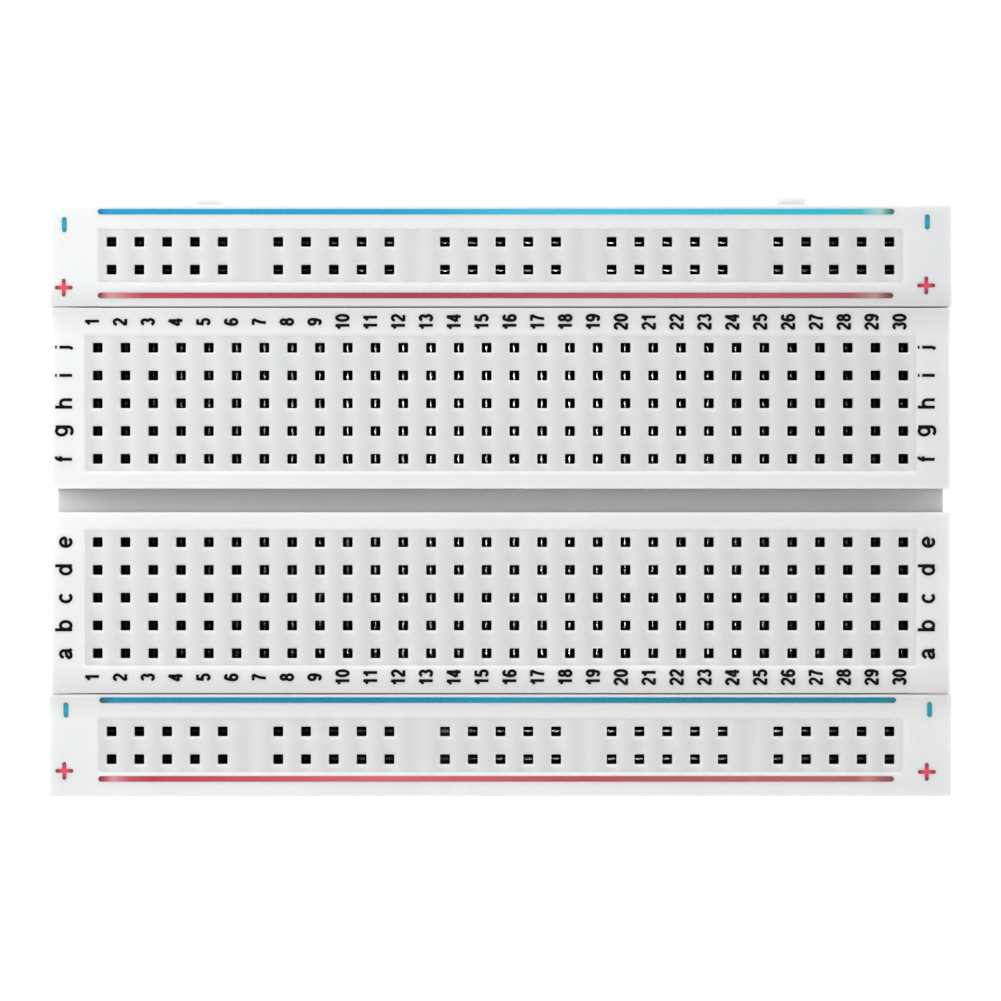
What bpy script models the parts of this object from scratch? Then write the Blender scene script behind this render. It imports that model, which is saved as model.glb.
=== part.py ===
"""Half-size solderless breadboard with 400 contact holes.

Three white mouldings lie side by side: a terminal strip with a groove along its middle, and a power
rail on each of its long edges. Dovetail lugs on the rear (+Y) edge of each moulding sit in blind
slots in the front (-Y) edge of the next one, so each moulding lifts straight up off the one in front
of it. Folded spring contacts stand in cavities that are open underneath, foam tape closes each
moulding from below, and release paper covers each tape.

Frame: +X along the board in the direction of rising column numbers, +Y from row a to row j, +Z up.
The origin is the middle of the underside, on the groove's centre line.
"""

from math import pi

import bmesh
import bpy
from mathutils import Matrix, Vector

MM = 0.001

# Hole grid
PITCH = 2.54 * MM
COLUMNS = 30
ROWS = 5  # rows on each side of the groove
FIRST_ROW_PITCHES = 1.5  # centre line to the first row
RAIL_GROUPS = 5
RAIL_GROUP_HOLES = 5

# Mouldings
TERMINAL_LENGTH = 82.2 * MM
TERMINAL_WIDTH = 35.24 * MM
RAIL_LENGTH = 82.5 * MM
RAIL_WIDTH = 9.33 * MM
SEAM_GAP = 0.1 * MM
TOP_Z = 8.5 * MM
SEAM_CORNER_RADIUS = 0.42 * MM
OUTER_CORNER_RADIUS = 0.2 * MM
TOP_EDGE_CHAMFER = 0.18 * MM
CORNER_SEGMENTS = 2

# Backing, from the table upwards
LINER_THICKNESS = 0.1 * MM
TAPE_THICKNESS = 0.7 * MM
REST_GAP = 0.1 * MM  # between pieces that lie on each other
TAPE_INSET = 0.9 * MM
LINER_INSET = 0.8 * MM  # clear of the neighbour's lugs

# Groove between rows e and f
GROOVE_WIDTH = 2.15 * MM
GROOVE_DEPTH = 5.6 * MM
GROOVE_END_NOTCH = 0.4 * MM

# Hole fields and holes
FIELD_MARGIN = 1.07 * MM  # past the outermost hole centres
RAIL_FIELD_MARGIN = 1.13 * MM
FIELD_DEPTH = 0.16 * MM
FIELD_SLOPE = 0.3 * MM
HOLE_SIZE = 0.85 * MM
COUNTERSINK_SIZE = 1.3 * MM
COUNTERSINK_TAPER = 1.0  # width lost on each side per unit of depth
SKIN_THICKNESS = 1.3 * MM  # from the field's floor to the cavity's ceiling

# Contact cavities and the hollows that keep the ends' walls thin
CAVITY_WIDTH = 1.9 * MM
CAVITY_MARGIN = 1.15 * MM  # past the outermost hole centres
END_WALL = 0.95 * MM
TERMINAL_END_RIB = 0.7 * MM
OVERCUT = 0.5 * MM  # how far a cutter runs past the face that it opens
NEAR = 0.01 * MM  # for picking out edges and corners by their place

# Dovetails
LUG_POSITIONS = (-10.5 * PITCH, 10.5 * PITCH)
LUG_NECK = 2.1 * MM
LUG_TIP = 2.7 * MM
LUG_REACH = 0.7 * MM
LUG_ROOT = 0.4 * MM  # how far the lug's solid runs into its own moulding
LUG_TOP_DROP = 1.2 * MM  # below the top face
LUG_CLEARANCE = 0.1 * MM
SLOT_TOP_DROP = 1.0 * MM

# Spring contacts, folded from sheet
SHEET = 0.2 * MM
CONTACT_WIDTH = 1.5 * MM
CONTACT_END_CLEARANCE = 0.3 * MM
FOLD_CHAMFER = 0.2 * MM
CONTACT_WALL_HEIGHT = 2.1 * MM
CONTACT_PINCH_HEIGHT = 4.65 * MM
CONTACT_HEIGHT = 5.5 * MM
CONTACT_PINCH = 0.1 * MM  # between the leaves, where they grip a lead
CONTACT_FLARE = 0.95 * MM

# The columns whose contacts are still joined in twos by a web of their carrier strip
FIRST_JOINED_COLUMN = 9
LAST_JOINED_COLUMN = 22
WEB_WIDTH = 0.9 * MM
WEB_BOTTOM = 0.35 * MM  # above the contact's foot
WEB_THICKNESS = 0.25 * MM
WEB_BITE = 0.1 * MM  # into each contact's wall
WEB_NOTCH_CLEARANCE = 0.25 * MM

# Levels and places that follow
TAPE_Z = LINER_THICKNESS + REST_GAP
HOUSING_Z = TAPE_Z + TAPE_THICKNESS + REST_GAP
FIELD_Z = TOP_Z - FIELD_DEPTH
CEILING_Z = FIELD_Z - SKIN_THICKNESS
CONTACT_Z = HOUSING_Z + REST_GAP
RAIL_INNER_Y = TERMINAL_WIDTH / 2 + SEAM_GAP
RAIL_OUTER_Y = RAIL_INNER_Y + RAIL_WIDTH
RAIL_CENTRE_Y = (RAIL_INNER_Y + RAIL_OUTER_Y) / 2

COLUMN_XS = [(i - (COLUMNS - 1) / 2) * PITCH for i in range(COLUMNS)]
ROW_YS = [(FIRST_ROW_PITCHES + i) * PITCH for i in range(ROWS)]
RAIL_STRIDE = RAIL_GROUP_HOLES + 1
RAIL_SPAN = RAIL_GROUPS * RAIL_STRIDE - 2  # pitches from a rail's first hole to its last
RAIL_XS = [
    (group * RAIL_STRIDE + hole - RAIL_SPAN / 2) * PITCH
    for group in range(RAIL_GROUPS)
    for hole in range(RAIL_GROUP_HOLES)
]
SIDES = {"fj": 1, "ae": -1}
RAILS = {"rear": 1, "front": -1}
RAIL_LINES = {"minus": 1, "plus": -1}


# ---------------------------------------------------------------- helpers
def clear_scene():
    for obj in list(bpy.data.objects):
        bpy.data.objects.remove(obj, do_unlink=True)


def collection(name):
    made = bpy.data.collections.new(name)
    bpy.context.scene.collection.children.link(made)
    return made


def material(name, colour, roughness, metallic=0.0):
    made = bpy.data.materials.new(name)
    made.use_nodes = True
    shader = made.node_tree.nodes["Principled BSDF"]
    shader.inputs["Base Color"].default_value = (*colour, 1.0)
    shader.inputs["Roughness"].default_value = roughness
    shader.inputs["Metallic"].default_value = metallic
    return made


def add_box(bm, low, high):
    """Adds a box to bm and returns its vertices."""
    low, high = Vector(low), Vector(high)
    place = Matrix.Translation((low + high) / 2) @ Matrix.Diagonal((*(high - low), 1.0))
    return bmesh.ops.create_cube(bm, size=1.0, matrix=place)["verts"]


def add_tapered_box(bm, low, high, spread):
    """Adds a box whose top is wider than its floor by spread on every side."""
    middle = (Vector(low) + Vector(high)) / 2
    for vert in add_box(bm, low, high):
        if vert.co.z > middle.z:
            vert.co.x += spread if vert.co.x > middle.x else -spread
            vert.co.y += spread if vert.co.y > middle.y else -spread


def add_dovetail(bm, x, root_y, tip_y, z_low, z_high, neck, tip):
    """Adds a lug that runs from root_y to tip_y in +Y and is wider at its tip."""
    middle_y = (root_y + tip_y) / 2
    for vert in add_box(bm, (x - neck / 2, root_y, z_low), (x + neck / 2, tip_y, z_high)):
        if vert.co.y > middle_y:
            vert.co.x = x + (tip / 2 if vert.co.x > x else -tip / 2)


def mesh_object(name, bm, owner, look=None):
    mesh = bpy.data.meshes.new(name)
    bm.to_mesh(mesh)
    bm.free()
    if look:
        mesh.materials.append(look)
    obj = bpy.data.objects.new(name, mesh)
    owner.objects.link(obj)
    return obj


def body_empty(name, centre, parent=None):
    """The frame of a moulding and all that it carries. It slides along its own Z axis."""
    empty = bpy.data.objects.new(name + "_body", None)
    empty.empty_display_size = 5 * MM
    empty.location = centre
    PARTS.objects.link(empty)
    if parent:
        empty.parent = parent
        empty.location = Vector(centre) - world_place(parent)
    return empty


def world_place(obj):
    place = obj.location.copy()
    while obj.parent:
        obj = obj.parent
        place += obj.location
    return place


def place(obj, centre, body, centred=False):
    """Puts obj's origin at centre, under its body. A mesh that isn't centred yet is made so."""
    if not centred:
        obj.data.transform(Matrix.Translation(-Vector(centre)))
    obj.parent = body
    obj.location = Vector(centre) - world_place(body)


def cutter(name, bm):
    obj = mesh_object(name, bm, CUTTERS)
    obj.hide_render = True
    obj.display_type = "WIRE"
    return obj


def boolean(obj, other, operation="DIFFERENCE"):
    modifier = obj.modifiers.new(other.name, "BOOLEAN")
    modifier.operation = operation
    modifier.solver = "EXACT"
    modifier.object = other


# ---------------------------------------------------------------- mouldings
def block(name, body, length, y_low, y_high, seam_sides):
    """A moulding's outer block, with round vertical corners and a chamfered top edge."""
    bm = bmesh.new()
    add_box(bm, (-length / 2, y_low, HOUSING_Z), (length / 2, y_high, TOP_Z))
    for y, edge_is_seam in zip((y_low, y_high), seam_sides):
        upright = [
            e
            for e in bm.edges
            if e.verts[0].co.xy == e.verts[1].co.xy and abs(e.verts[0].co.y - y) < NEAR
        ]
        bmesh.ops.bevel(
            bm,
            geom=upright,
            offset=SEAM_CORNER_RADIUS if edge_is_seam else OUTER_CORNER_RADIUS,
            segments=CORNER_SEGMENTS,
            profile=0.5,
            affect="EDGES",
        )
    rim = [e for e in bm.edges if all(v.co.z > TOP_Z - NEAR for v in e.verts)]
    bmesh.ops.bevel(bm, geom=rim, offset=TOP_EDGE_CHAMFER, segments=1, affect="EDGES")
    housing = mesh_object(name, bm, PARTS, PLASTIC)
    place(housing, (0.0, (y_low + y_high) / 2, HOUSING_Z), body)
    return housing


def add_lugs(housing, rear_y):
    bm = bmesh.new()
    for x in LUG_POSITIONS:
        add_dovetail(
            bm,
            x,
            rear_y - LUG_ROOT,
            rear_y + LUG_REACH,
            HOUSING_Z,
            TOP_Z - LUG_TOP_DROP,
            LUG_NECK,
            LUG_TIP,
        )
    boolean(housing, cutter(housing.name + "_lugs", bm), "UNION")


def cut_slots(housing, front_y):
    """Blind slots in the front edge, open underneath, that the neighbour's lugs fill."""
    bm = bmesh.new()
    reach = LUG_REACH - SEAM_GAP + LUG_CLEARANCE
    per_depth = (LUG_TIP - LUG_NECK) / (LUG_REACH + LUG_ROOT)
    mouth = LUG_NECK + per_depth * (LUG_ROOT - OVERCUT + SEAM_GAP) + 2 * LUG_CLEARANCE
    for x in LUG_POSITIONS:
        add_dovetail(
            bm,
            x,
            front_y - OVERCUT,
            front_y + reach,
            HOUSING_Z - OVERCUT,
            TOP_Z - SLOT_TOP_DROP,
            mouth,
            LUG_TIP + 2 * LUG_CLEARANCE,
        )
    boolean(housing, cutter(housing.name + "_slots", bm))


def cut_fields(housing, fields):
    """Shallow sloping-sided recesses around the holes. Each field is (x, x, y, y)."""
    bm = bmesh.new()
    climb = FIELD_SLOPE / FIELD_DEPTH * (FIELD_DEPTH + OVERCUT)
    for x_low, x_high, y_low, y_high in fields:
        add_tapered_box(bm, (x_low, y_low, FIELD_Z), (x_high, y_high, TOP_Z + OVERCUT), climb)
    boolean(housing, cutter(housing.name + "_fields", bm))


def add_hole_cutter(bm, x, y):
    """Adds a square shaft that widens into the countersink at its top."""
    shaft, mouth = HOLE_SIZE / 2, COUNTERSINK_SIZE / 2
    depth = (mouth - shaft) / COUNTERSINK_TAPER
    rise = OVERCUT / 4
    shaft_top = FIELD_Z - depth
    low, high = (x - shaft, y - shaft, CEILING_Z - OVERCUT), (x + shaft, y + shaft, shaft_top)
    corners = [v for v in add_box(bm, low, high) if v.co.z > shaft_top - NEAR]
    lid = next(f for f in corners[0].link_faces if all(v in corners for v in f.verts))
    raised = bmesh.ops.extrude_face_region(bm, geom=[lid])["geom"]
    bm.faces.remove(lid)
    scale = (mouth + rise * COUNTERSINK_TAPER) / shaft
    for vert in (v for v in raised if isinstance(v, bmesh.types.BMVert)):
        vert.co = (x + (vert.co.x - x) * scale, y + (vert.co.y - y) * scale, FIELD_Z + rise)


def cut_holes(housing, places):
    """A square countersunk hole at each place."""
    bm = bmesh.new()
    for x, y in places:
        add_hole_cutter(bm, x, y)
    boolean(housing, cutter(housing.name + "_holes", bm))


def cut_hollows(housing, hollows):
    """Cavities open underneath. Each hollow is (x, x, y, y, ceiling)."""
    bm = bmesh.new()
    for x_low, x_high, y_low, y_high, ceiling in hollows:
        add_box(bm, (x_low, y_low, HOUSING_Z - OVERCUT), (x_high, y_high, ceiling))
    boolean(housing, cutter(housing.name + "_hollows", bm))


def joined_pairs():
    """The column numbers, counted from 0, of contacts that share a web."""
    return [(i - 1, i) for i in range(FIRST_JOINED_COLUMN, LAST_JOINED_COLUMN, 2)]


def terminal_strip_housing(body):
    half_width = TERMINAL_WIDTH / 2
    housing = block(
        "terminal_strip_housing", body, TERMINAL_LENGTH, -half_width, half_width, (True, True)
    )
    add_lugs(housing, half_width)
    cut_slots(housing, -half_width)

    field_x = COLUMN_XS[-1] + FIELD_MARGIN
    spans = [sorted((s * (ROW_YS[0] - FIELD_MARGIN), s * (ROW_YS[-1] + FIELD_MARGIN))) for s in (1, -1)]
    cut_fields(housing, [(-field_x, field_x, *span) for span in spans])

    hollows = []
    cavity_low, cavity_high = ROW_YS[0] - CAVITY_MARGIN, ROW_YS[-1] + CAVITY_MARGIN
    pocket_low = COLUMN_XS[-1] + CAVITY_WIDTH / 2 + TERMINAL_END_RIB
    pocket_high = TERMINAL_LENGTH / 2 - END_WALL
    for s in SIDES.values():
        y_low, y_high = sorted((s * cavity_low, s * cavity_high))
        for x in COLUMN_XS:
            hollows.append((x - CAVITY_WIDTH / 2, x + CAVITY_WIDTH / 2, y_low, y_high, CEILING_Z))
        hollows.append((pocket_low, pocket_high, y_low, y_high, CEILING_Z))
        hollows.append((-pocket_high, -pocket_low, y_low, y_high, CEILING_Z))
    cut_hollows(housing, hollows)

    groove, notches = bmesh.new(), bmesh.new()
    end = TERMINAL_LENGTH / 2
    half_groove = GROOVE_WIDTH / 2
    add_box(
        groove,
        (-end - OVERCUT, -half_groove, TOP_Z - GROOVE_DEPTH),
        (end + OVERCUT, half_groove, TOP_Z + OVERCUT),
    )
    boolean(housing, cutter("groove", groove))
    for s in (1, -1):
        x_low, x_high = sorted((s * (end - GROOVE_END_NOTCH), s * (end + OVERCUT)))
        add_box(
            notches,
            (x_low, -half_groove, HOUSING_Z - OVERCUT),
            (x_high, half_groove, TOP_Z + OVERCUT),
        )
    boolean(housing, cutter("groove_ends", notches))

    webs = bmesh.new()
    half_notch = WEB_WIDTH / 2 + WEB_NOTCH_CLEARANCE
    notch_top = CONTACT_Z + WEB_BOTTOM + WEB_THICKNESS + WEB_NOTCH_CLEARANCE
    for s in SIDES.values():
        y = s * ROW_YS[ROWS // 2]
        for left, right in joined_pairs():
            add_box(
                webs,
                (COLUMN_XS[left], y - half_notch, HOUSING_Z - OVERCUT),
                (COLUMN_XS[right], y + half_notch, notch_top),
            )
    boolean(housing, cutter("web_notches", webs))

    cut_holes(housing, [(x, s * y) for s in SIDES.values() for x in COLUMN_XS for y in ROW_YS])


def rail_housing(side, body):
    s = RAILS[side]
    y_low, y_high = sorted((s * RAIL_INNER_Y, s * RAIL_OUTER_Y))
    housing = block(f"{side}_rail_housing", body, RAIL_LENGTH, y_low, y_high, (s > 0, s < 0))
    add_lugs(housing, y_high)
    cut_slots(housing, y_low)

    centre = s * RAIL_CENTRE_Y
    lines = [centre + line * PITCH / 2 for line in RAIL_LINES.values()]
    field_x = RAIL_XS[-1] + RAIL_FIELD_MARGIN
    half_field = PITCH / 2 + RAIL_FIELD_MARGIN
    cut_fields(housing, [(-field_x, field_x, centre - half_field, centre + half_field)])

    cavity_x = RAIL_XS[-1] + CAVITY_MARGIN
    half_cavity = CAVITY_WIDTH / 2
    half_pocket = PITCH / 2 + half_cavity
    pocket_low, pocket_high = cavity_x + END_WALL, RAIL_LENGTH / 2 - END_WALL
    hollows = [(-cavity_x, cavity_x, y - half_cavity, y + half_cavity, CEILING_Z) for y in lines]
    hollows.append((pocket_low, pocket_high, centre - half_pocket, centre + half_pocket, CEILING_Z))
    hollows.append((-pocket_high, -pocket_low, centre - half_pocket, centre + half_pocket, CEILING_Z))
    cut_hollows(housing, hollows)
    cut_holes(housing, [(x, y) for x in RAIL_XS for y in lines])


# ---------------------------------------------------------------- contacts
def contact_profile():
    """The outside line of the folded sheet, across the contact, from one flared tip to the other."""
    half = CONTACT_WIDTH / 2
    right = [
        (half - FOLD_CHAMFER, 0.0),
        (half, FOLD_CHAMFER),
        (half, CONTACT_WALL_HEIGHT),
        (CONTACT_PINCH / 2 + SHEET, CONTACT_PINCH_HEIGHT),
        (CONTACT_FLARE / 2 + SHEET, CONTACT_HEIGHT),
    ]
    return [(-u, z) for u, z in reversed(right)] + right


def contact_mesh(name, length):
    """The profile swept along Y, with its faces pointing out of the fold."""
    bm = bmesh.new()
    line = [bm.verts.new((u, -length / 2, z)) for u, z in contact_profile()]
    edges = [bm.edges.new(pair) for pair in zip(line, line[1:])]
    swept = bmesh.ops.extrude_edge_only(bm, edges=edges)["geom"]
    far = [v for v in swept if isinstance(v, bmesh.types.BMVert)]
    bmesh.ops.translate(bm, verts=far, vec=(0.0, length, 0.0))
    bmesh.ops.recalc_face_normals(bm, faces=bm.faces)
    bm.normal_update()
    foot = min(bm.faces, key=lambda face: face.calc_center_median().z)
    if foot.normal.z > 0:
        bmesh.ops.reverse_faces(bm, faces=bm.faces)
    mesh = bpy.data.meshes.new(name)
    bm.to_mesh(mesh)
    bm.free()
    mesh.materials.append(NICKEL)
    return mesh


def contact(name, mesh, centre, body, owner, turn=0.0):
    """A contact: the swept sheet, thickened inwards."""
    obj = bpy.data.objects.new(name, mesh)
    owner.objects.link(obj)
    shell = obj.modifiers.new("sheet", "SOLIDIFY")
    shell.thickness = SHEET
    shell.offset = -1.0
    shell.use_even_offset = True
    place(obj, centre, body, centred=True)
    obj.rotation_euler.z = turn
    return obj


def terminal_contact(side, columns, mesh, body):
    """One five-way contact, or two of them joined by a web of their carrier strip."""
    y = SIDES[side] * ROW_YS[ROWS // 2]
    name = f"contact_{side}_" + "_".join(f"{c + 1:02d}" for c in columns)
    first = contact(name, mesh, (COLUMN_XS[columns[0]], y, CONTACT_Z), body, PARTS)
    if len(columns) == 1:
        return
    twin_place = (COLUMN_XS[columns[1]], y, CONTACT_Z)
    second = contact(name + "_second", mesh, twin_place, body, CUTTERS)
    second.hide_render = True
    second.display_type = "WIRE"
    web = bmesh.new()
    inner = CONTACT_WIDTH / 2 - WEB_BITE
    z = CONTACT_Z + WEB_BOTTOM
    add_box(
        web,
        (COLUMN_XS[columns[0]] + inner, y - WEB_WIDTH / 2, z),
        (COLUMN_XS[columns[1]] - inner, y + WEB_WIDTH / 2, z + WEB_THICKNESS),
    )
    boolean(first, cutter(name + "_web", web), "UNION")
    boolean(first, second, "UNION")


def terminal_contacts(body):
    pairs = joined_pairs()
    in_pairs = {column for pair in pairs for column in pair}
    singles = [(column,) for column in range(COLUMNS) if column not in in_pairs]
    length = ROW_YS[-1] - ROW_YS[0] + 2 * (CAVITY_MARGIN - CONTACT_END_CLEARANCE)
    mesh = contact_mesh("five_way_contact", length)
    for side in SIDES:
        for columns in singles + pairs:
            terminal_contact(side, columns, mesh, body)


def rail_contacts(side, body):
    """The two long contacts of a rail, one under each line of holes."""
    length = RAIL_XS[-1] - RAIL_XS[0] + 2 * (CAVITY_MARGIN - CONTACT_END_CLEARANCE)
    mesh = contact_mesh(side + "_rail_contact", length)
    for line, offset in RAIL_LINES.items():
        y = RAILS[side] * RAIL_CENTRE_Y + offset * PITCH / 2
        name = f"{side}_rail_{line}_contact"
        contact(name, mesh, (0.0, y, CONTACT_Z), body, PARTS, turn=-pi / 2)


# ---------------------------------------------------------------- backing
def flat_piece(name, half_length, y_low, y_high, z_low, thickness, look):
    bm = bmesh.new()
    add_box(bm, (-half_length, y_low, z_low), (half_length, y_high, z_low + thickness))
    return mesh_object(name, bm, PARTS, look)


def backing(name, body, length, y_low, y_high):
    """Foam tape under a moulding, and the release paper under the tape."""
    for piece, inset, z, thickness, look in (
        ("tape", TAPE_INSET, TAPE_Z, TAPE_THICKNESS, FOAM),
        ("liner", LINER_INSET, 0.0, LINER_THICKNESS, PAPER),
    ):
        bm = bmesh.new()
        low = (-length / 2 + inset, y_low + inset, z)
        high = (length / 2 - inset, y_high - inset, z + thickness)
        add_box(bm, low, high)
        obj = mesh_object(f"{name}_{piece}", bm, PARTS, look)
        place(obj, (0.0, (y_low + y_high) / 2, z), body)


clear_scene()
PARTS = collection("solderless_breadboard")
CUTTERS = collection("cutters")
PLASTIC = material("white_abs", (0.80, 0.81, 0.82), 0.42)
NICKEL = material("nickel_plated_bronze", (0.72, 0.70, 0.66), 0.3, 1.0)
FOAM = material("white_foam_tape", (0.78, 0.78, 0.76), 0.9)
PAPER = material("release_paper", (0.86, 0.82, 0.66), 0.6)

front_body = body_empty("front_rail", (0.0, -RAIL_CENTRE_Y, HOUSING_Z))
strip_body = body_empty("terminal_strip", (0.0, 0.0, HOUSING_Z), front_body)
rear_body = body_empty("rear_rail", (0.0, RAIL_CENTRE_Y, HOUSING_Z), strip_body)

terminal_strip_housing(strip_body)
terminal_contacts(strip_body)
backing("terminal_strip", strip_body, TERMINAL_LENGTH, -TERMINAL_WIDTH / 2, TERMINAL_WIDTH / 2)
for rail, rail_body in (("front", front_body), ("rear", rear_body)):
    rail_housing(rail, rail_body)
    rail_contacts(rail, rail_body)
    edges = sorted((RAILS[rail] * RAIL_INNER_Y, RAILS[rail] * RAIL_OUTER_Y))
    backing(rail + "_rail", rail_body, RAIL_LENGTH, *edges)
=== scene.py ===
import math

import bmesh
import bpy
from mathutils import Matrix, Vector


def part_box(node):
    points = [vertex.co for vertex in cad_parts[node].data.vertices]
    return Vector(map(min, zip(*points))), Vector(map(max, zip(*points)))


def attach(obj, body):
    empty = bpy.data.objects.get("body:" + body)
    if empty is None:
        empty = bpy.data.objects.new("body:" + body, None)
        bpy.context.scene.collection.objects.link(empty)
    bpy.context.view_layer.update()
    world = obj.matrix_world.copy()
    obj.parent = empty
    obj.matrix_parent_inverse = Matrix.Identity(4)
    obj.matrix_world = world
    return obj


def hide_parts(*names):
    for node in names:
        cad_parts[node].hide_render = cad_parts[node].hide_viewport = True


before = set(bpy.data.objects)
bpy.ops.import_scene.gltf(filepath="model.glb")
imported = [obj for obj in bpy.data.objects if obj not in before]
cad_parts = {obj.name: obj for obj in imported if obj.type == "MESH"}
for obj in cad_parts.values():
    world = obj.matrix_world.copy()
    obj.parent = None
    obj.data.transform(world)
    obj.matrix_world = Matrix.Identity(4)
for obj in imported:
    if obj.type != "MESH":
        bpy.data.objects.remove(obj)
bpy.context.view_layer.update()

# Lengths are in millimetres, and a finished mesh is scaled to metres. Lights and the camera are in metres.
MM = 0.001

# ---- sizes that repeat the CAD's
PITCH = 2.54
COLUMNS = 30
COLUMN_XS = [(i - (COLUMNS - 1) / 2) * PITCH for i in range(COLUMNS)]
ROW_YS = [(1.5 + i) * PITCH for i in range(5)]
RAIL_XS = [(g * 6 + k - 14) * PITCH for g in range(5) for k in range(5)]


def node_box(name):
    """Low and high corner of a CAD node at rest."""
    low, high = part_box(name)
    return low / MM, high / MM


STRIP_LOW, STRIP_HIGH = node_box("terminal_strip_housing")
RAIL_LOW, RAIL_HIGH = node_box("rear_rail_housing")
FRONT_LOW = node_box("front_rail_housing")[0]
TOP = STRIP_HIGH.z
BASE = STRIP_LOW.z
STRIP_HALF_X = STRIP_HIGH.x
RAIL_HALF_X = RAIL_HIGH.x
STRIP_HALF_Y = -STRIP_LOW.y
RAIL_IN = RAIL_LOW.y
RAIL_OUT = -FRONT_LOW.y
RAIL_MID = (RAIL_IN + RAIL_OUT) / 2
FIELD_DEPTH = 0.16
FIELD_Z = TOP - FIELD_DEPTH
SKIN = 1.3  # from a field's floor to the cavities' ceiling
CEILING_Z = FIELD_Z - SKIN
FIELD_MARGIN = 1.07  # past the outermost hole centres
RAIL_FIELD_MARGIN = 1.13
GROOVE_HALF = 1.075
GROOVE_FLOOR = TOP - 5.6
END_NOTCH = 0.4
END_WALL = 0.95
LUG_XS = (-10.5 * PITCH, 10.5 * PITCH)


# ---------------------------------------------------------------- mesh tools
class Build:
    """Gathers vertices (mm) and faces, and turns them into a mesh object (m)."""

    def __init__(self):
        self.verts, self.faces = [], []

    def add(self, verts, faces):
        base = len(self.verts)
        self.verts += [tuple(v) for v in verts]
        self.faces += [tuple(i + base for i in f) for f in faces]

    def loft(self, rings, closed=True, caps=(False, False)):
        """Quads between rings of equal length, which run from bottom to top, anticlockwise from above."""
        n = len(rings[0])
        verts = [p for ring in rings for p in ring]
        faces = []
        for k in range(len(rings) - 1):
            for i in range(n if closed else n - 1):
                j = (i + 1) % n
                faces.append((k * n + i, k * n + j, (k + 1) * n + j, (k + 1) * n + i))
        if caps[0]:
            faces.append(tuple(reversed(range(n))))
        if caps[1]:
            faces.append(tuple(range((len(rings) - 1) * n, len(rings) * n)))
        self.add(verts, faces)

    def box(self, low, high):
        (x0, y0, z0), (x1, y1, z1) = low, high
        ring = [(x0, y0), (x1, y0), (x1, y1), (x0, y1)]
        self.loft([[(x, y, z) for x, y in ring] for z in (z0, z1)], caps=(True, True))

    def object(self, name, merge=None):
        mesh = bpy.data.meshes.new(name)
        mesh.from_pydata(self.verts, [], self.faces)
        if merge:
            bm = bmesh.new()
            bm.from_mesh(mesh)
            bmesh.ops.remove_doubles(bm, verts=bm.verts, dist=merge)
            bm.to_mesh(mesh)
            bm.free()
        obj = bpy.data.objects.new(name, mesh)
        bpy.context.collection.objects.link(obj)
        return obj


def shade(obj, angle):
    """Smooth shading, with sharp edges where the surface turns by more than angle (degrees)."""
    obj.data.shade_smooth()
    obj.data.set_sharp_from_angle(angle=math.radians(angle))


def to_metres(obj):
    obj.data.transform(Matrix.Scale(MM, 4))
    obj.data.update()
    return obj


def rounded_rect(x0, x1, y0, y1, radii, z, arc=5):
    """Points anticlockwise. radii is one number, or the four of (x1,y1), (x0,y1), (x0,y0), (x1,y0)."""
    if isinstance(radii, (int, float)):
        radii = (radii,) * 4
    corners = ((x1, y1, 1, 1), (x0, y1, -1, 1), (x0, y0, -1, -1), (x1, y0, 1, -1))
    points = []
    for q, (cx, cy, sx, sy) in enumerate(corners):
        r = radii[q]
        for k in range(arc + 1):
            a = math.pi / 2 * (q + k / arc)
            points.append((cx - sx * r + r * math.cos(a), cy - sy * r + r * math.sin(a), z))
    return points


def boolean(obj, other, operation="DIFFERENCE", solver="EXACT"):
    """Puts a modifier on obj and gives back other, a helper for apply_all to remove."""
    modifier = obj.modifiers.new(other.name, "BOOLEAN")
    modifier.operation = operation
    modifier.solver = solver
    modifier.object = other
    return other


def apply_all(obj, helpers):
    """Gives obj the mesh its modifiers make, and removes the helpers."""
    graph = bpy.context.evaluated_depsgraph_get()
    mesh = bpy.data.meshes.new_from_object(obj.evaluated_get(graph))
    obj.modifiers.clear()
    old = obj.data
    obj.data = mesh
    bpy.data.meshes.remove(old)
    for helper in helpers:
        bpy.data.objects.remove(helper, do_unlink=True)
    return obj


# ---------------------------------------------------------------- materials
# The plastic's colours: outer faces, the fields' floors with their painted shade bars, a flat tone set
# against the shade for all that lies INNER_DEPTH below the top, and painted shade near the joints
FACE_DARK, FACE_LIGHT = (0.735, 0.74, 0.745), (0.765, 0.77, 0.775)
# Field floor tones; the swing between them is painted shade in bars across the columns.
FLOOR_SHADED, FLOOR_LIT = (0.635, 0.64, 0.645), (0.69, 0.695, 0.70)
# One flat tone for all that lies INNER_DEPTH below the top: painted shade, set against the shade in the
# groove and cavities.
DEEP_PAINTED_SHADE = (0.75, 0.75, 0.75)
JOINT_PAINTED_SHADE = (0.66, 0.66, 0.655)
JOINT_SHADE_FAR, JOINT_SHADE_NEAR = 2.6, 0.1  # distances from a joint over which the painted shade fades in
INNER_DEPTH = 1.2
SUBSURFACE = 0.0006  # metres that light travels in the plastic
INK_WORN = (0.5, 0.5, 0.5)
BLACK_WORN = (0.02, 0.02, 0.02)


def new_material(name, colour, roughness, metallic=0.0, specular=0.5):
    made = bpy.data.materials.new(name)
    made.use_nodes = True
    shader = made.node_tree.nodes["Principled BSDF"]
    shader.inputs["Base Color"].default_value = (*colour, 1)
    shader.inputs["Roughness"].default_value = roughness
    shader.inputs["Metallic"].default_value = metallic
    shader.inputs["Specular IOR Level"].default_value = specular
    return made, made.node_tree, shader


def node(tree, kind, **values):
    """A new node. Each value is one of its settings or, failing that, one of its input sockets."""
    made = tree.nodes.new(kind)
    for key, value in values.items():
        if hasattr(made, key):
            setattr(made, key, value)
        else:
            made.inputs[key].default_value = value
    return made


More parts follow.
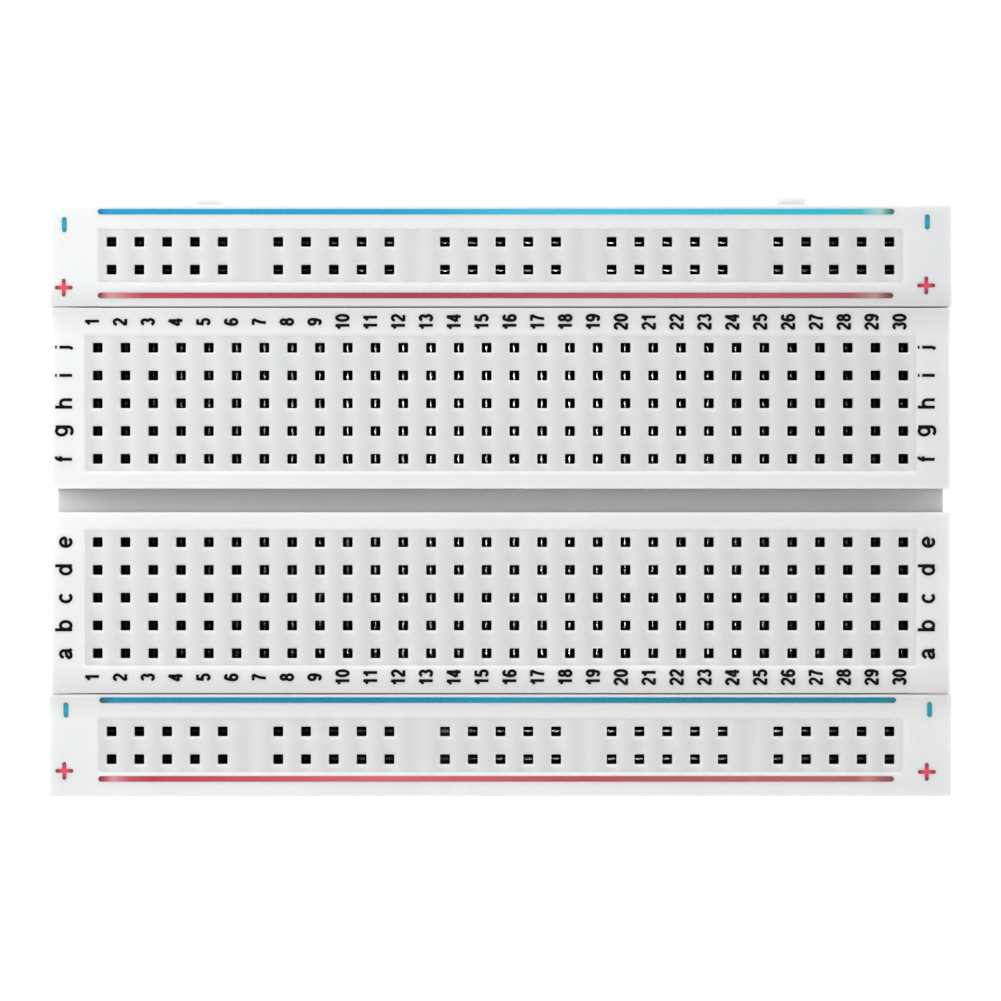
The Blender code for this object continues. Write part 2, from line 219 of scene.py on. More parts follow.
def mix(tree, factor, a, b):
    """A colour mix. factor, a and b are sockets, or for a and b plain colours."""
    made = tree.nodes.new("ShaderNodeMix")
    made.data_type = "RGBA"
    tree.links.new(factor, made.inputs[0])
    for socket, value in ((made.inputs[6], a), (made.inputs[7], b)):
        if isinstance(value, tuple):
            socket.default_value = (*value, 1)
        else:
            tree.links.new(value, socket)
    return made.outputs[2]


def ramp(tree, source, stops):
    """A grey ramp. stops are (place, value)."""
    made = tree.nodes.new("ShaderNodeValToRGB")
    tree.links.new(source, made.inputs[0])
    elements = made.color_ramp.elements
    while len(elements) < len(stops):
        elements.new(0.5)
    for element, (place, value) in zip(elements, stops):
        element.position = place
        element.color = (value, value, value, 1)
    return made.outputs[0]


def plastic_material(name, side):
    """White moulded ABS. side is +1 or -1: which side of a hole column gets the painted shade of the floor's
    bars.
    """
    made, tree, shader = new_material(name, (0.76, 0.765, 0.775), 0.42)
    link = tree.links.new
    coords = node(tree, "ShaderNodeTexCoord").outputs["Object"]
    split = node(tree, "ShaderNodeSeparateXYZ")
    link(coords, split.inputs[0])

    def maths(operation, a, b=None):
        step = node(tree, "ShaderNodeMath", operation=operation)
        for socket, value in zip(step.inputs, (a, b)):
            if isinstance(value, (int, float)):
                socket.default_value = value
            elif value is not None:
                link(value, socket)
        return step.outputs[0]

    cloud = node(tree, "ShaderNodeTexNoise", Scale=140.0, Detail=3.0)
    link(coords, cloud.inputs["Vector"])
    cloudy = ramp(tree, cloud.outputs["Fac"], [(0.3, 0.0), (0.7, 1.0)])
    face = mix(tree, cloudy, FACE_DARK, FACE_LIGHT)

    # The floors of the hole fields are darker, with soft bars along the columns: painted shade of the dips
    # at each hole column, darker on the side away from the light.
    wave = maths("SINE", maths("MULTIPLY", split.outputs["X"], 2 * math.pi / (PITCH * MM)))
    bars = maths("MULTIPLY_ADD", wave, 0.5 * side)
    bars.node.inputs[2].default_value = 0.5
    floor = mix(tree, bars, FLOOR_SHADED, FLOOR_LIT)
    sunk = maths("LESS_THAN", split.outputs["Z"], (FIELD_Z + 0.004) * MM)
    high = maths("GREATER_THAN", split.outputs["Z"], (FIELD_Z - 0.06) * MM)
    base = mix(tree, maths("MULTIPLY", sunk, high), face, floor)
    # Everything INNER_DEPTH below the top takes a flat tone: painted shade for the groove, hole shafts and
    # cavities.
    base = mix(tree, maths("LESS_THAN", split.outputs["Z"], (TOP - INNER_DEPTH) * MM), base, DEEP_PAINTED_SHADE)

    # Painted shade along the joints between the sections: the plastic darkens towards each seam, broken up
    # by the cloud noise.
    across = maths("ABSOLUTE", split.outputs["Y"])
    away = maths("ABSOLUTE", maths("SUBTRACT", across, STRIP_HALF_Y * MM))
    near = node(tree, "ShaderNodeMapRange")
    link(away, near.inputs["Value"])
    near.inputs["From Min"].default_value = JOINT_SHADE_FAR * MM
    near.inputs["From Max"].default_value = JOINT_SHADE_NEAR * MM
    joint_shade = maths("MULTIPLY", near.outputs[0], maths("MULTIPLY_ADD", cloud.outputs["Fac"], 0.9))
    base = mix(tree, joint_shade, base, JOINT_PAINTED_SHADE)
    link(base, shader.inputs["Base Color"])
    shader.inputs["Subsurface Weight"].default_value = 1.0
    shader.inputs["Subsurface Radius"].default_value = (1.0, 1.0, 1.0)
    shader.inputs["Subsurface Scale"].default_value = SUBSURFACE

    wear = node(tree, "ShaderNodeTexNoise", Scale=60.0, Detail=6.0, Roughness=0.7)
    link(coords, wear.inputs["Vector"])
    rough = node(tree, "ShaderNodeMapRange")
    link(wear.outputs["Fac"], rough.inputs["Value"])
    rough.inputs["To Min"].default_value = 0.36
    rough.inputs["To Max"].default_value = 0.55
    link(rough.outputs[0], shader.inputs["Roughness"])

    grain = node(tree, "ShaderNodeTexNoise", Scale=9000.0, Detail=2.0)
    link(coords, grain.inputs["Vector"])
    fine = node(tree, "ShaderNodeBump", Strength=0.12, Distance=0.00002)
    link(grain.outputs["Fac"], fine.inputs["Height"])
    swell = node(tree, "ShaderNodeTexNoise", Scale=220.0, Detail=1.0)
    link(coords, swell.inputs["Vector"])
    broad = node(tree, "ShaderNodeBump", Strength=0.25, Distance=0.00004)
    link(swell.outputs["Fac"], broad.inputs["Height"])
    link(fine.outputs[0], broad.inputs["Normal"])
    link(broad.outputs[0], shader.inputs["Normal"])
    return made


def metal_material():
    """Nickel-plated spring bronze, with faint rolling lines along Y and blotchy stains, its colours far
    darker than bare nickel: painted shade for the inside of the holes.
    """
    made, tree, shader = new_material("nickel_plate", (0.34, 0.33, 0.31), 0.25, 1.0)
    link = tree.links.new
    coords = node(tree, "ShaderNodeTexCoord").outputs["Object"]
    stretch = node(tree, "ShaderNodeMapping")
    stretch.inputs["Scale"].default_value = (9000.0, 300.0, 9000.0)
    link(coords, stretch.inputs["Vector"])
    lines = node(tree, "ShaderNodeTexNoise", Scale=1.0, Detail=3.0)
    link(stretch.outputs[0], lines.inputs["Vector"])
    bump = node(tree, "ShaderNodeBump", Strength=0.02, Distance=0.000003)
    link(lines.outputs["Fac"], bump.inputs["Height"])
    link(bump.outputs[0], shader.inputs["Normal"])
    stain = node(tree, "ShaderNodeTexNoise", Scale=500.0, Detail=4.0)
    link(coords, stain.inputs["Vector"])
    tarnish_and_shade = ramp(tree, stain.outputs["Fac"], [(0.35, 0.0), (0.7, 1.0)])
    # Both colours stand well below nickel's own: painted shade for the contacts deep in the holes, with
    # darker blotches.
    link(mix(tree, tarnish_and_shade, (0.30, 0.29, 0.275), (0.22, 0.205, 0.18)), shader.inputs["Base Color"])
    rough = node(tree, "ShaderNodeMapRange")
    link(stain.outputs["Fac"], rough.inputs["Value"])
    rough.inputs["To Min"].default_value = 0.12
    rough.inputs["To Max"].default_value = 0.2
    link(rough.outputs[0], shader.inputs["Roughness"])
    return made


def linear(colour):
    """From 0-255 screen values to the numbers a shader takes."""
    return tuple(
        (c / 255 / 12.92 if c <= 10 else ((c / 255 + 0.055) / 1.055) ** 2.4) for c in colour
    )


def colour_line(tree, place, stops):
    """Screen colours that change with place, a socket in metres. stops are (place in mm, screen colour)."""
    first, last = stops[0][0], stops[-1][0]
    span = node(tree, "ShaderNodeMapRange")
    tree.links.new(place, span.inputs["Value"])
    span.inputs["From Min"].default_value = first * MM
    span.inputs["From Max"].default_value = last * MM
    blend = tree.nodes.new("ShaderNodeValToRGB")
    tree.links.new(span.outputs[0], blend.inputs[0])
    elements = blend.color_ramp.elements
    while len(elements) < len(stops):
        elements.new(0.5)
    for element, (where, colour) in zip(elements, stops):
        element.position = (where - first) / (last - first)
        element.color = (*linear(colour), 1)
    return blend.outputs[0]


def ink_material(name, stops, axis=None):
    """Pad-printed ink. The stops run along X for axis X, and outwards from a sign's middle for axis R."""
    plain = linear(stops[0][1])
    made, tree, shader = new_material(name, plain, 0.6, specular=0.12)
    link = tree.links.new
    coords = node(tree, "ShaderNodeTexCoord").outputs["Object"]
    speck = node(tree, "ShaderNodeTexNoise", Scale=6000.0, Detail=3.0)
    link(coords, speck.inputs["Vector"])
    wear = ramp(tree, speck.outputs["Fac"], [(0.4, 0.0), (0.8, 0.12)])
    if axis == "X":
        split = node(tree, "ShaderNodeSeparateXYZ")
        link(coords, split.inputs[0])
        worn = mix(tree, wear, colour_line(tree, split.outputs["X"], stops), INK_WORN)
    elif axis == "R":
        length = node(tree, "ShaderNodeVectorMath", operation="LENGTH")
        link(coords, length.inputs[0])
        worn = mix(tree, wear, colour_line(tree, length.outputs["Value"], stops), INK_WORN)
    else:
        worn = mix(tree, wear, plain, BLACK_WORN)
    link(worn, shader.inputs["Base Color"])
    bump = node(tree, "ShaderNodeBump", Strength=0.25, Distance=0.00001)
    link(speck.outputs["Fac"], bump.inputs["Height"])
    link(bump.outputs[0], shader.inputs["Normal"])
    return made


def foam_material():
    """Off-white foam with open cells, painted darker in each cell's pit as shade."""
    made, tree, shader = new_material("foam_tape", (0.72, 0.71, 0.68), 0.9, specular=0.2)
    link = tree.links.new
    coords = node(tree, "ShaderNodeTexCoord").outputs["Object"]
    cells = node(tree, "ShaderNodeTexVoronoi", Scale=5200.0)
    link(coords, cells.inputs["Vector"])
    # Darker towards each cell's middle, where the bump sinks: painted shade in the pits.
    depth = ramp(tree, cells.outputs["Distance"], [(0.1, 0.0), (0.6, 1.0)])
    link(mix(tree, depth, (0.55, 0.54, 0.50), (0.76, 0.75, 0.72)), shader.inputs["Base Color"])
    bump = node(tree, "ShaderNodeBump", Strength=0.7, Distance=0.00008)
    link(cells.outputs["Distance"], bump.inputs["Height"])
    link(bump.outputs[0], shader.inputs["Normal"])
    return made


def paper_material():
    """Glazed yellowish paper with a faint cloud of fibres."""
    made, tree, shader = new_material("release_paper", (0.80, 0.75, 0.60), 0.45)
    link = tree.links.new
    coords = node(tree, "ShaderNodeTexCoord").outputs["Object"]
    fibre = node(tree, "ShaderNodeTexNoise", Scale=900.0, Detail=6.0, Roughness=0.7)
    link(coords, fibre.inputs["Vector"])
    cloud = ramp(tree, fibre.outputs["Fac"], [(0.35, 0.0), (0.7, 1.0)])
    link(mix(tree, cloud, (0.78, 0.72, 0.56), (0.85, 0.80, 0.66)), shader.inputs["Base Color"])
    bump = node(tree, "ShaderNodeBump", Strength=0.2, Distance=0.00003)
    link(fibre.outputs["Fac"], bump.inputs["Height"])
    link(bump.outputs[0], shader.inputs["Normal"])
    return made


PLASTIC = {"strip": plastic_material("white_abs", -1), "rail": plastic_material("white_abs_rail", 1)}
METAL = metal_material()
FOAM = foam_material()
PAPER = paper_material()


# ---------------------------------------------------------------- mouldings
HOLE_HALF = 0.455
HOLE_CORNER = 0.09
# (half width, corner radius, depth below the field) from the lip to the shaft
HOLE_LIP = (
    (1.02, 0.40, 0.0),
    (0.645, 0.19, 0.026),
    (0.615, 0.18, 0.036),
    (0.590, 0.16, 0.060),
    (0.520, 0.13, 0.145),
    (0.475, 0.10, 0.205),
    (HOLE_HALF, HOLE_CORNER, 0.280),
)
PLATE_OVERLAP = 0.05  # a plate's reach into the walls around it, and a cavity's past its ceiling
PLATE_BELOW = 0.03  # a plate's reach below the cavities' ceiling, so that no two faces coincide
OVERCUT = 0.5  # how far a cutter stands out of the solid it cuts
CAVITY_HALF = 0.95
CAVITY_REACH, HOLLOW_REACH = 1.0, 1.15  # past the outer rows' centres
HOLLOW_IN = 38.8  # inner wall of the hollows at the terminal strip's ends
# Dovetail lugs and their slots: reach from the edge (ROOT is inwards), drop of their top below the
# moulding's, widths at the neck and the tip, and how much the top is eased
LUG_ROOT, LUG_REACH, LUG_DROP = 0.4, 0.7, 1.2
LUG_NECK, LUG_TIP, LUG_EASE = 2.1, 2.7, 0.14
SLOT_REACH, SLOT_DROP = 0.7, 1.0
SLOT_NECK, SLOT_TIP, SLOT_EASE = 2.18, 2.9, 0.01
RIM, RIM_STEPS = 0.2, 4  # radius of the top edges
FOOT = 0.12  # size of the bottom edges' bevel
LEAST_CORNER = 0.04


def hole_ring(x, y, half, corner, z):
    """Sixteen points: each side's middle, and three on each round corner."""
    c = corner * (1 - math.sqrt(0.5))
    quadrant = [(half, 0.0), (half, half - corner), (half - c, half - c), (half - corner, half)]
    ring = []
    for turn in range(4):
        for u, v in quadrant:
            for _ in range(turn):
                u, v = -v, u
            ring.append((x + u, y + v, z))
    return ring


def tile_ring(x, y, left, right, down, up, z):
    """The sixteen points around a tile that answer hole_ring's."""
    return [
        (x + u, y + v, z)
        for u, v in (
            (right, 0), (right, up / 2), (right, up), (right / 2, up),
            (0, up), (-left / 2, up), (-left, up), (-left, up / 2),
            (-left, 0), (-left, -down / 2), (-left, -down), (-left / 2, -down),
            (0, -down), (right / 2, -down), (right, -down), (right, -down / 2),
        )
    ]  # fmt: skip


def plate(name, xs, ys, margin, holes):
    """The skin between a field's floor and the cavities' ceiling. holes are the x values that have holes."""
    made = Build()
    h = PITCH / 2
    for i, x in enumerate(xs):
        left = margin + PLATE_OVERLAP if i == 0 else h
        right = margin + PLATE_OVERLAP if i == len(xs) - 1 else h
        for j, y in enumerate(ys):
            down = margin + PLATE_OVERLAP if j == 0 else h
            up = margin + PLATE_OVERLAP if j == len(ys) - 1 else h
            top = tile_ring(x, y, left, right, down, up, FIELD_Z)
            bottom = tile_ring(x, y, left, right, down, up, CEILING_Z - PLATE_BELOW)
            if x not in holes:
                made.loft([top], caps=(False, True))
                made.loft([bottom], caps=(True, False))
                continue
            rings = [bottom, hole_ring(x, y, HOLE_HALF, HOLE_CORNER, CEILING_Z - PLATE_BELOW)]
            rings += [hole_ring(x, y, a, c, FIELD_Z - d) for a, c, d in reversed(HOLE_LIP)]
            rings.append(top)
            made.loft([list(reversed(r)) for r in rings])
    obj = made.object(name, merge=0.001)
    bm = bmesh.new()
    bm.from_mesh(obj.data)
    rim = [e for e in bm.edges if len(e.link_faces) == 1]
    bmesh.ops.bridge_loops(bm, edges=rim)
    bmesh.ops.recalc_face_normals(bm, faces=bm.faces)
    bm.to_mesh(obj.data)
    bm.free()
    return obj


def block(name, half_x, y0, y1, seam_low, seam_high):
    """A moulding's rounded outer block. seam_low and seam_high say whether y0 and y1 face a joint."""
    outer, seam = 0.24, 0.2
    radii = (seam if seam_high else outer,) * 2 + (seam if seam_low else outer,) * 2
    levels = [(BASE, FOOT), (BASE + FOOT * 0.3, FOOT * 0.3), (BASE + FOOT, 0.0)]
    for k in range(RIM_STEPS + 1):
        a = math.pi / 2 * k / RIM_STEPS
        levels.append((TOP - RIM + RIM * math.sin(a), RIM * (1 - math.cos(a))))
    rings = []
    for z, s in levels:
        corners = [max(r - s, LEAST_CORNER) for r in radii]
        rings.append(rounded_rect(-half_x + s, half_x - s, y0 + s, y1 - s, corners, z))
    made = Build()
    made.loft(rings, caps=(True, True))
    return made.object(name)


def field_cutter(name, x0, x1, y0, y1):
    """Window for the plate, sloping wall, and a rolled crest."""
    profile = (
        (0.0, CEILING_Z),
        (0.0, FIELD_Z - 0.01),
        (0.2, TOP - 0.053),
        (0.26, TOP - 0.024),
        (0.33, TOP - 0.006),
        (0.42, TOP),
        (0.5, TOP + 0.2),
    )
    made = Build()
    made.loft(
        [rounded_rect(x0 - s, x1 + s, y0 - s, y1 + s, 0.22 + s, z) for s, z in profile],
        caps=(True, True),
    )
    return made.object(name)


def dovetail(made, x, y_root, y_tip, z0, z1, neck, tip, round_top):
    """A lug, or the cutter of its slot, that is wider at its tip. Its top is eased by round_top."""
    levels = [(z0, 0.0), (z1 - round_top, 0.0)]
    levels += [(z1 - 0.3 * round_top, 0.35 * round_top), (z1, round_top)]
    rings = []
    for z, s in levels:
        rings.append(
            [
                (x - neck / 2 + s, y_root, z),
                (x + neck / 2 - s, y_root, z),
                (x + tip / 2 - s, y_tip - s, z),
                (x - tip / 2 + s, y_tip - s, z),
            ]
        )
    made.loft(rings, caps=(True, True))


def seam_rib(made, x_end, x_in, face, outwards):
    """A thin rib that closes a seam towards its end: its top rises from x_in to x_end."""
    low, middle, high = 1.2, 0.3, 0.06
    root, reach = 0.3, 0.085
    foot = BASE + 1
    y0, y1 = sorted((face - outwards * root, face + outwards * reach))
    rings = []
    for x, down in sorted(((x_in, low), ((x_in + 2 * x_end) / 3, middle), (x_end, high))):
        rings.append([(x, y0, foot), (x, y1, foot), (x, y1, TOP - down), (x, y0, TOP - down)])
    made.loft(rings, caps=(True, True))


def lugs_and_slots(obj, y_rear, y_front, ribs=()):
    """Dovetail lugs on the rear edge, blind slots in the front one, and the ribs wherever they lie."""
    lugs = Build()
    slots = Build()
    for x_end, x_in, face, outwards in ribs:
        seam_rib(lugs, x_end, x_in, face, outwards)
    for x in LUG_XS:
        y0, y1 = y_rear - LUG_ROOT, y_rear + LUG_REACH
        dovetail(lugs, x, y0, y1, BASE, TOP - LUG_DROP, LUG_NECK, LUG_TIP, LUG_EASE)
        y0, y1 = y_front - OVERCUT, y_front + SLOT_REACH
        z0, z1 = BASE - OVERCUT, TOP - SLOT_DROP
        dovetail(slots, x, y0, y1, z0, z1, SLOT_NECK, SLOT_TIP, SLOT_EASE)
    return [
        boolean(obj, lugs.object("lugs"), "UNION"),
        boolean(obj, slots.object("slots")),
    ]


def finish_moulding(obj, helpers, plates, kind):
    """Joins the plates on, applies everything and gives the moulding its plastic."""
    helpers += [boolean(obj, skin, "UNION", "MANIFOLD") for skin in plates]
    apply_all(obj, helpers)
    to_metres(obj)
    shade(obj, 30)
    obj.data.materials.clear()
    obj.data.materials.append(PLASTIC[kind])
    return obj


def terminal_strip():
    """Two fields of thirty columns either side of the groove, cavities below them, and hollow ends."""
    obj = block("terminal_strip_moulding", STRIP_HALF_X, -STRIP_HALF_Y, STRIP_HALF_Y, True, True)
    end = STRIP_HALF_X - 0.45
    # x_end, x_in, face and outwards of each rib
    ribs = [
        (-end, -36.6, STRIP_HALF_Y, 1),
        (-end, -35.6, -STRIP_HALF_Y, -1),
        (end, 33.0, -STRIP_HALF_Y, -1),
    ]
    helpers = lugs_and_slots(obj, STRIP_HALF_Y, -STRIP_HALF_Y, ribs)
    margin = FIELD_MARGIN
    x1 = COLUMN_XS[-1] + margin
    cavities = Build()
    plates = []
    for s, name in ((1, "upper"), (-1, "lower")):
        ys = sorted(s * y for y in ROW_YS)
        window = field_cutter(name + "_field", -x1, x1, ys[0] - margin, ys[-1] + margin)
        helpers.append(boolean(obj, window))
        plates.append(plate(name + "_plate", COLUMN_XS, ys, margin, set(COLUMN_XS)))
        for x in COLUMN_XS:
            cavities.box(
                (x - CAVITY_HALF, ys[0] - CAVITY_REACH, BASE - OVERCUT),
                (x + CAVITY_HALF, ys[-1] + CAVITY_REACH, CEILING_Z + PLATE_OVERLAP),
            )
        for e in (1, -1):
            ends = sorted((e * HOLLOW_IN, e * (STRIP_HALF_X - END_WALL)))
            low = (ends[0], ys[0] - HOLLOW_REACH, BASE - OVERCUT)
            cavities.box(low, (ends[1], ys[-1] + HOLLOW_REACH, CEILING_Z))
    helpers.append(boolean(obj, cavities.object("cavities")))

    profile = [
        (-GROOVE_HALF - 0.25, TOP + 0.3),
        (-GROOVE_HALF - 0.12, TOP),
        (-GROOVE_HALF - 0.035, TOP - 0.035),
        (-GROOVE_HALF, TOP - 0.12),
        (-GROOVE_HALF, GROOVE_FLOOR + 0.15),
        (-GROOVE_HALF + 0.045, GROOVE_FLOOR + 0.045),
        (-GROOVE_HALF + 0.15, GROOVE_FLOOR),
    ]
    profile += [(-y, z) for y, z in reversed(profile)]
    groove = Build()
    ends = (-STRIP_HALF_X - OVERCUT, STRIP_HALF_X + OVERCUT)
    groove.loft([[(x, y, z) for y, z in profile] for x in ends], caps=(True, True))
    helpers.append(boolean(obj, groove.object("groove")))
    notches = Build()
    for e in (1, -1):
        x0, x1 = sorted((e * (STRIP_HALF_X - END_NOTCH), e * (STRIP_HALF_X + OVERCUT)))
        notches.box((x0, -GROOVE_HALF, BASE - OVERCUT), (x1, GROOVE_HALF, TOP + OVERCUT))
    helpers.append(boolean(obj, notches.object("notches")))
    return finish_moulding(obj, helpers, plates, "strip")


def rail(side):
    """The rear or front power rail: five groups of holes, and one long cavity under each line."""
    s = 1 if side == "rear" else -1
    y0, y1 = sorted((s * RAIL_IN, s * RAIL_OUT))
    obj = block(side + "_rail_moulding", RAIL_HALF_X, y0, y1, s > 0, s < 0)
    helpers = lugs_and_slots(obj, y1, y0)
    margin = RAIL_FIELD_MARGIN
    mid = s * RAIL_MID
    x1 = RAIL_XS[-1] + margin
    ys = [mid - PITCH / 2, mid + PITCH / 2]
    window = field_cutter(side + "_field", -x1, x1, ys[0] - margin, ys[1] + margin)
    helpers.append(boolean(obj, window))
    every_x = [(i - 14) * PITCH for i in range(29)]
    skin = plate(side + "_plate", every_x, ys, margin, set(RAIL_XS))
    cavities = Build()
    for y in ys:
        cavities.box(
            (-x1 + PLATE_OVERLAP, y - CAVITY_HALF, BASE - OVERCUT),
            (x1 - PLATE_OVERLAP, y + CAVITY_HALF, CEILING_Z + PLATE_OVERLAP),
        )
    helpers.append(boolean(obj, cavities.object("cavities")))
    return finish_moulding(obj, helpers, [skin], "rail")


# ---------------------------------------------------------------- spring contacts
SHEET = 0.2  # thickness
FOOT_Z = BASE + 0.1  # just above the foam tape
# the sheet's outer line on one side: (distance from the middle, height)
LEAF = (
    (0.55, 0.0), (0.69, 0.06), (0.75, 0.2), (0.75, 1.0), (0.75, 2.0),
    (0.72, 2.35), (0.62, 3.1), (0.44, 3.9), (0.275, 4.4), (0.245, 4.6),
    (0.265, 4.8), (0.42, 5.1), (0.54, 5.35), (0.64, 5.45),
)  # fmt: skip
WALL_TOP = 4  # LEAF's last point on the unslit wall
FINGER_POINTS = (-1.12, -0.55, 0.0, 0.55, 1.12)  # along the wall, from a hole's centre
FINGER_ROOT, FINGER_TAPER, FINGER_TIP = 1.0, 0.25, 0.16  # half width, its loss towards the tip and at it
FINGER_FLAT = 0.5  # half of the crown's width at the root, which shrinks by CROWN_TAPER
CROWN_TAPER = 0.12
FINGER_CROWN = 0.07  # how far a finger's middle stands back from its two edges
END_GAP = 0.3  # a contact ends this much short of half a pitch past its last hole


def contact(name, centres, turn, fingers):
    """A folded strip whose leaves are slit into a pair of fingers for each hole, at (x, y) centres."""
    points = len(FINGER_POINTS)
    ys = [f + along for f in fingers for along in FINGER_POINTS]
    ys[0] = fingers[0] - PITCH / 2 + END_GAP
    ys[-1] = fingers[-1] + PITCH / 2 - END_GAP
    bm = bmesh.new()
    grid = []
    line = [(-u, z) for u, z in reversed(LEAF[: WALL_TOP + 1])] + list(LEAF[: WALL_TOP + 1])
    for u, z in line:
        grid.append([bm.verts.new((u, y, z)) for y in ys])
    for a, b in zip(grid, grid[1:]):
        for i in range(len(ys) - 1):
            bm.faces.new((a[i], a[i + 1], b[i + 1], b[i]))
    for sign, row in ((-1, grid[0]), (1, grid[-1])):
        for n, f in enumerate(fingers):
            previous = row[points * n : points * (n + 1)]
            for k in range(WALL_TOP + 1, len(LEAF)):
                u, z = LEAF[k]
                part = (k - WALL_TOP) / (len(LEAF) - 1 - WALL_TOP)
                width = FINGER_ROOT - FINGER_TAPER * part
                if k == len(LEAF) - 1:
                    width -= FINGER_TIP
                inner = FINGER_FLAT - CROWN_TAPER * min(1.0, part * 2)
                back = FINGER_CROWN * min(1.0, part * 2)
                across = ((-width, 0), (-inner, 0), (0, back), (inner, 0), (width, 0))
                current = [
                    bm.verts.new((sign * (u + inset), f + offset, z)) for offset, inset in across
                ]
                for i in range(points - 1):
                    quad = (previous[i], previous[i + 1], current[i + 1], current[i])
                    bm.faces.new(quad if sign > 0 else tuple(reversed(quad)))
                previous = current
    bmesh.ops.recalc_face_normals(bm, faces=bm.faces)
    foot = min(bm.faces, key=lambda face: face.calc_center_median().z)
    foot.normal_update()
    if foot.normal.z > 0:
        bmesh.ops.reverse_faces(bm, faces=bm.faces)
    mesh = bpy.data.meshes.new(name)
    bm.to_mesh(mesh)
    bm.free()
    obj = bpy.data.objects.new(name, mesh)
    bpy.context.collection.objects.link(obj)
    shell = obj.modifiers.new("sheet", "SOLIDIFY")
    shell.thickness = SHEET
    shell.offset = -1.0
    shell.use_even_offset = False
    apply_all(obj, [])
    if turn:
        obj.data.transform(Matrix.Rotation(-math.pi / 2, 4, "Z"))
    one = obj.data.copy()
    obj.data.transform(Matrix.Translation(Vector((*centres[0], FOOT_Z))))
    for centre in centres[1:]:
        twin = one.copy()
        twin.transform(Matrix.Translation(Vector((*centre, FOOT_Z))))
        bm = bmesh.new()
        bm.from_mesh(obj.data)
        bm.from_mesh(twin)
        bm.to_mesh(obj.data)
        bm.free()
        bpy.data.meshes.remove(twin)
    bpy.data.meshes.remove(one)
    to_metres(obj)
    shade(obj, 40)
    obj.data.materials.clear()
    obj.data.materials.append(METAL)
    return obj


def contacts():
    """One piece for each contact node of the CAD. Its name says where it lies."""
    fingers = [(i - 2) * PITCH for i in range(5)]
    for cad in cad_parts:
        parts = cad.split("_")
        if parts[0] == "contact":
            y = (1 if parts[1] == "fj" else -1) * ROW_YS[2]
            columns = [int(p) - 1 for p in parts[2:]]
            name = f"spring_contact_{parts[1]}_" + "_".join(parts[2:])
            piece = contact(name, [(COLUMN_XS[c], y) for c in columns], False, fingers)
            body = "terminal_strip"
        elif parts[-1] == "contact":
            y = (1 if parts[0] == "rear" else -1) * RAIL_MID
            y += (1 if parts[2] == "minus" else -1) * PITCH / 2
            name = f"{parts[0]}_{parts[2]}_bus_contact"
            piece = contact(name, [(0.0, y)], True, RAIL_XS)
            body = parts[0] + "_rail"
        else:
            continue
        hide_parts(cad)
        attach(piece, body)


# ---------------------------------------------------------------- backing
TAPE_INSET, TAPE_CORNER = 0.9, 0.3
PAPER_INSET, PAPER_CORNER = 0.8, 0.35
# (height, how far the edge stands in) from bottom to top
TAPE_EDGE = (
    (0.1, 0.03),
    (0.14, 0.0),
    (0.35, -0.03),
    (0.55, -0.045),
    (0.75, -0.03),
    (0.96, 0.0),
    (1.0, 0.03),
)
PAPER_EDGE = ((0.0, 0.01), (0.015, 0.0), (0.085, 0.0), (0.1, 0.01))


def backing_layer(name, half_x, y0, y1, inset, corner, edge, material):
    """A flat piece under a moulding of the given plan, inset on all sides."""
    made = Build()
    rings = []
    for z, s in edge:
        back = inset + s
        rings.append(rounded_rect(-half_x + back, half_x - back, y0 + back, y1 - back, corner, z))
    made.loft(rings, caps=(True, True))
    obj = to_metres(made.object(name))
    obj.data.materials.append(material)
    shade(obj, 40)
    return obj


def backing(body, half_x, y0, y1):
    """Foam tape with bulging cut edges, and its release paper."""
    plan = (half_x, y0, y1)
    tape = backing_layer(body + "_foam", *plan, TAPE_INSET, TAPE_CORNER, TAPE_EDGE, FOAM)
    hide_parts(body + "_tape")
    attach(tape, body)
    paper = backing_layer(body + "_paper", *plan, PAPER_INSET, PAPER_CORNER, PAPER_EDGE, PAPER)
    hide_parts(body + "_liner")
    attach(paper, body)


# ---------------------------------------------------------------- print
INK_Z = TOP + 0.006
INK_ROOT = 0.01  # how far the ink reaches into the plastic
PRINT_LIFT = 0.004  # strokes that may cross stand up to this much apart
LIFT_STEPS = 7


def ellipse(cx, cy, rx, ry, a0, a1, steps):
    """Points of an ellipse from the angle a0 to a1 (degrees)."""
    points = []
    for k in range(steps + 1):
        a = math.radians(a0 + (a1 - a0) * k / steps)
        points.append((cx + rx * math.cos(a), cy + ry * math.sin(a)))
    return points


# The 6's two strokes, which turned half round make the 9
SIX_BACK = ellipse(0.27, 0.70, 0.155, 0.22, 20, 130, 8) + ellipse(0.27, 0.45, 0.185, 0.37, 150, 200, 5)
SIX_BOWL = ellipse(0.26, 0.31, 0.17, 0.235, 0, 360, 22)
